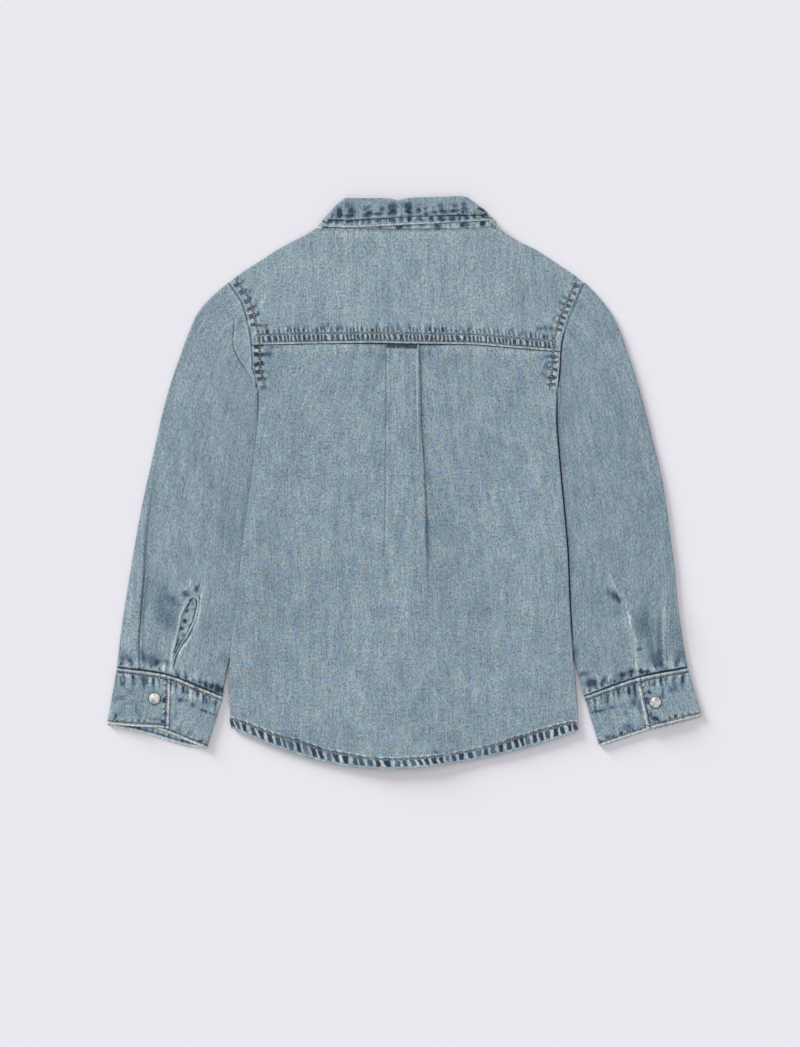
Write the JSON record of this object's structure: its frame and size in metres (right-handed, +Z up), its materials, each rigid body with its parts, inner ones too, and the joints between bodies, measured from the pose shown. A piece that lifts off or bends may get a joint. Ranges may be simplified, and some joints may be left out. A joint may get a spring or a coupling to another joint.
{
  "type": "denim shirt",
  "caption": "Child's long-sleeved denim shirt laid flat with its back up: collar, back yoke, box pleat, shaped hem, and cuffs closed with pearl snaps.",
  "frame": {"origin": "middle of the laid-out shirt's bounding box, on the surface that it lies on", "axes": "+X across the shirt from its left sleeve in plan to its right one, +Y from the hem to the collar, +Z up, out of the back"},
  "size_m": [0.475, 0.4568, 0.0109],
  "materials": {
    "denim": "light stonewashed denim, matt, with slubs and worn seams",
    "sewn_denim": "washed denim in pressed double layers, darker and blotched beside its stitching",
    "pearl_snap": "pearly cap in a thin metal rim"
  },
  "bodies": {
    "root": {"back": "denim", "yoke": "denim", "front_left": "denim", "front_right": "denim", "sleeve_left": "denim", "sleeve_right": "denim", "placket_left": "sewn_denim", "placket_right": "sewn_denim", "collar_stand": "sewn_denim", "collar_leaf": "sewn_denim", "cuff_left": "sewn_denim", "cuff_right": "sewn_denim", "slit_binding_left": "sewn_denim", "slit_binding_right": "sewn_denim", "cuff_snap_left": "pearl_snap", "cuff_snap_right": "pearl_snap", "collar_snap": "pearl_snap", "front_snap_1": "pearl_snap", "front_snap_2": "pearl_snap", "front_snap_3": "pearl_snap", "front_snap_4": "pearl_snap", "front_snap_5": "pearl_snap", "front_snap_6": "pearl_snap"}
  },
  "joints": []
}
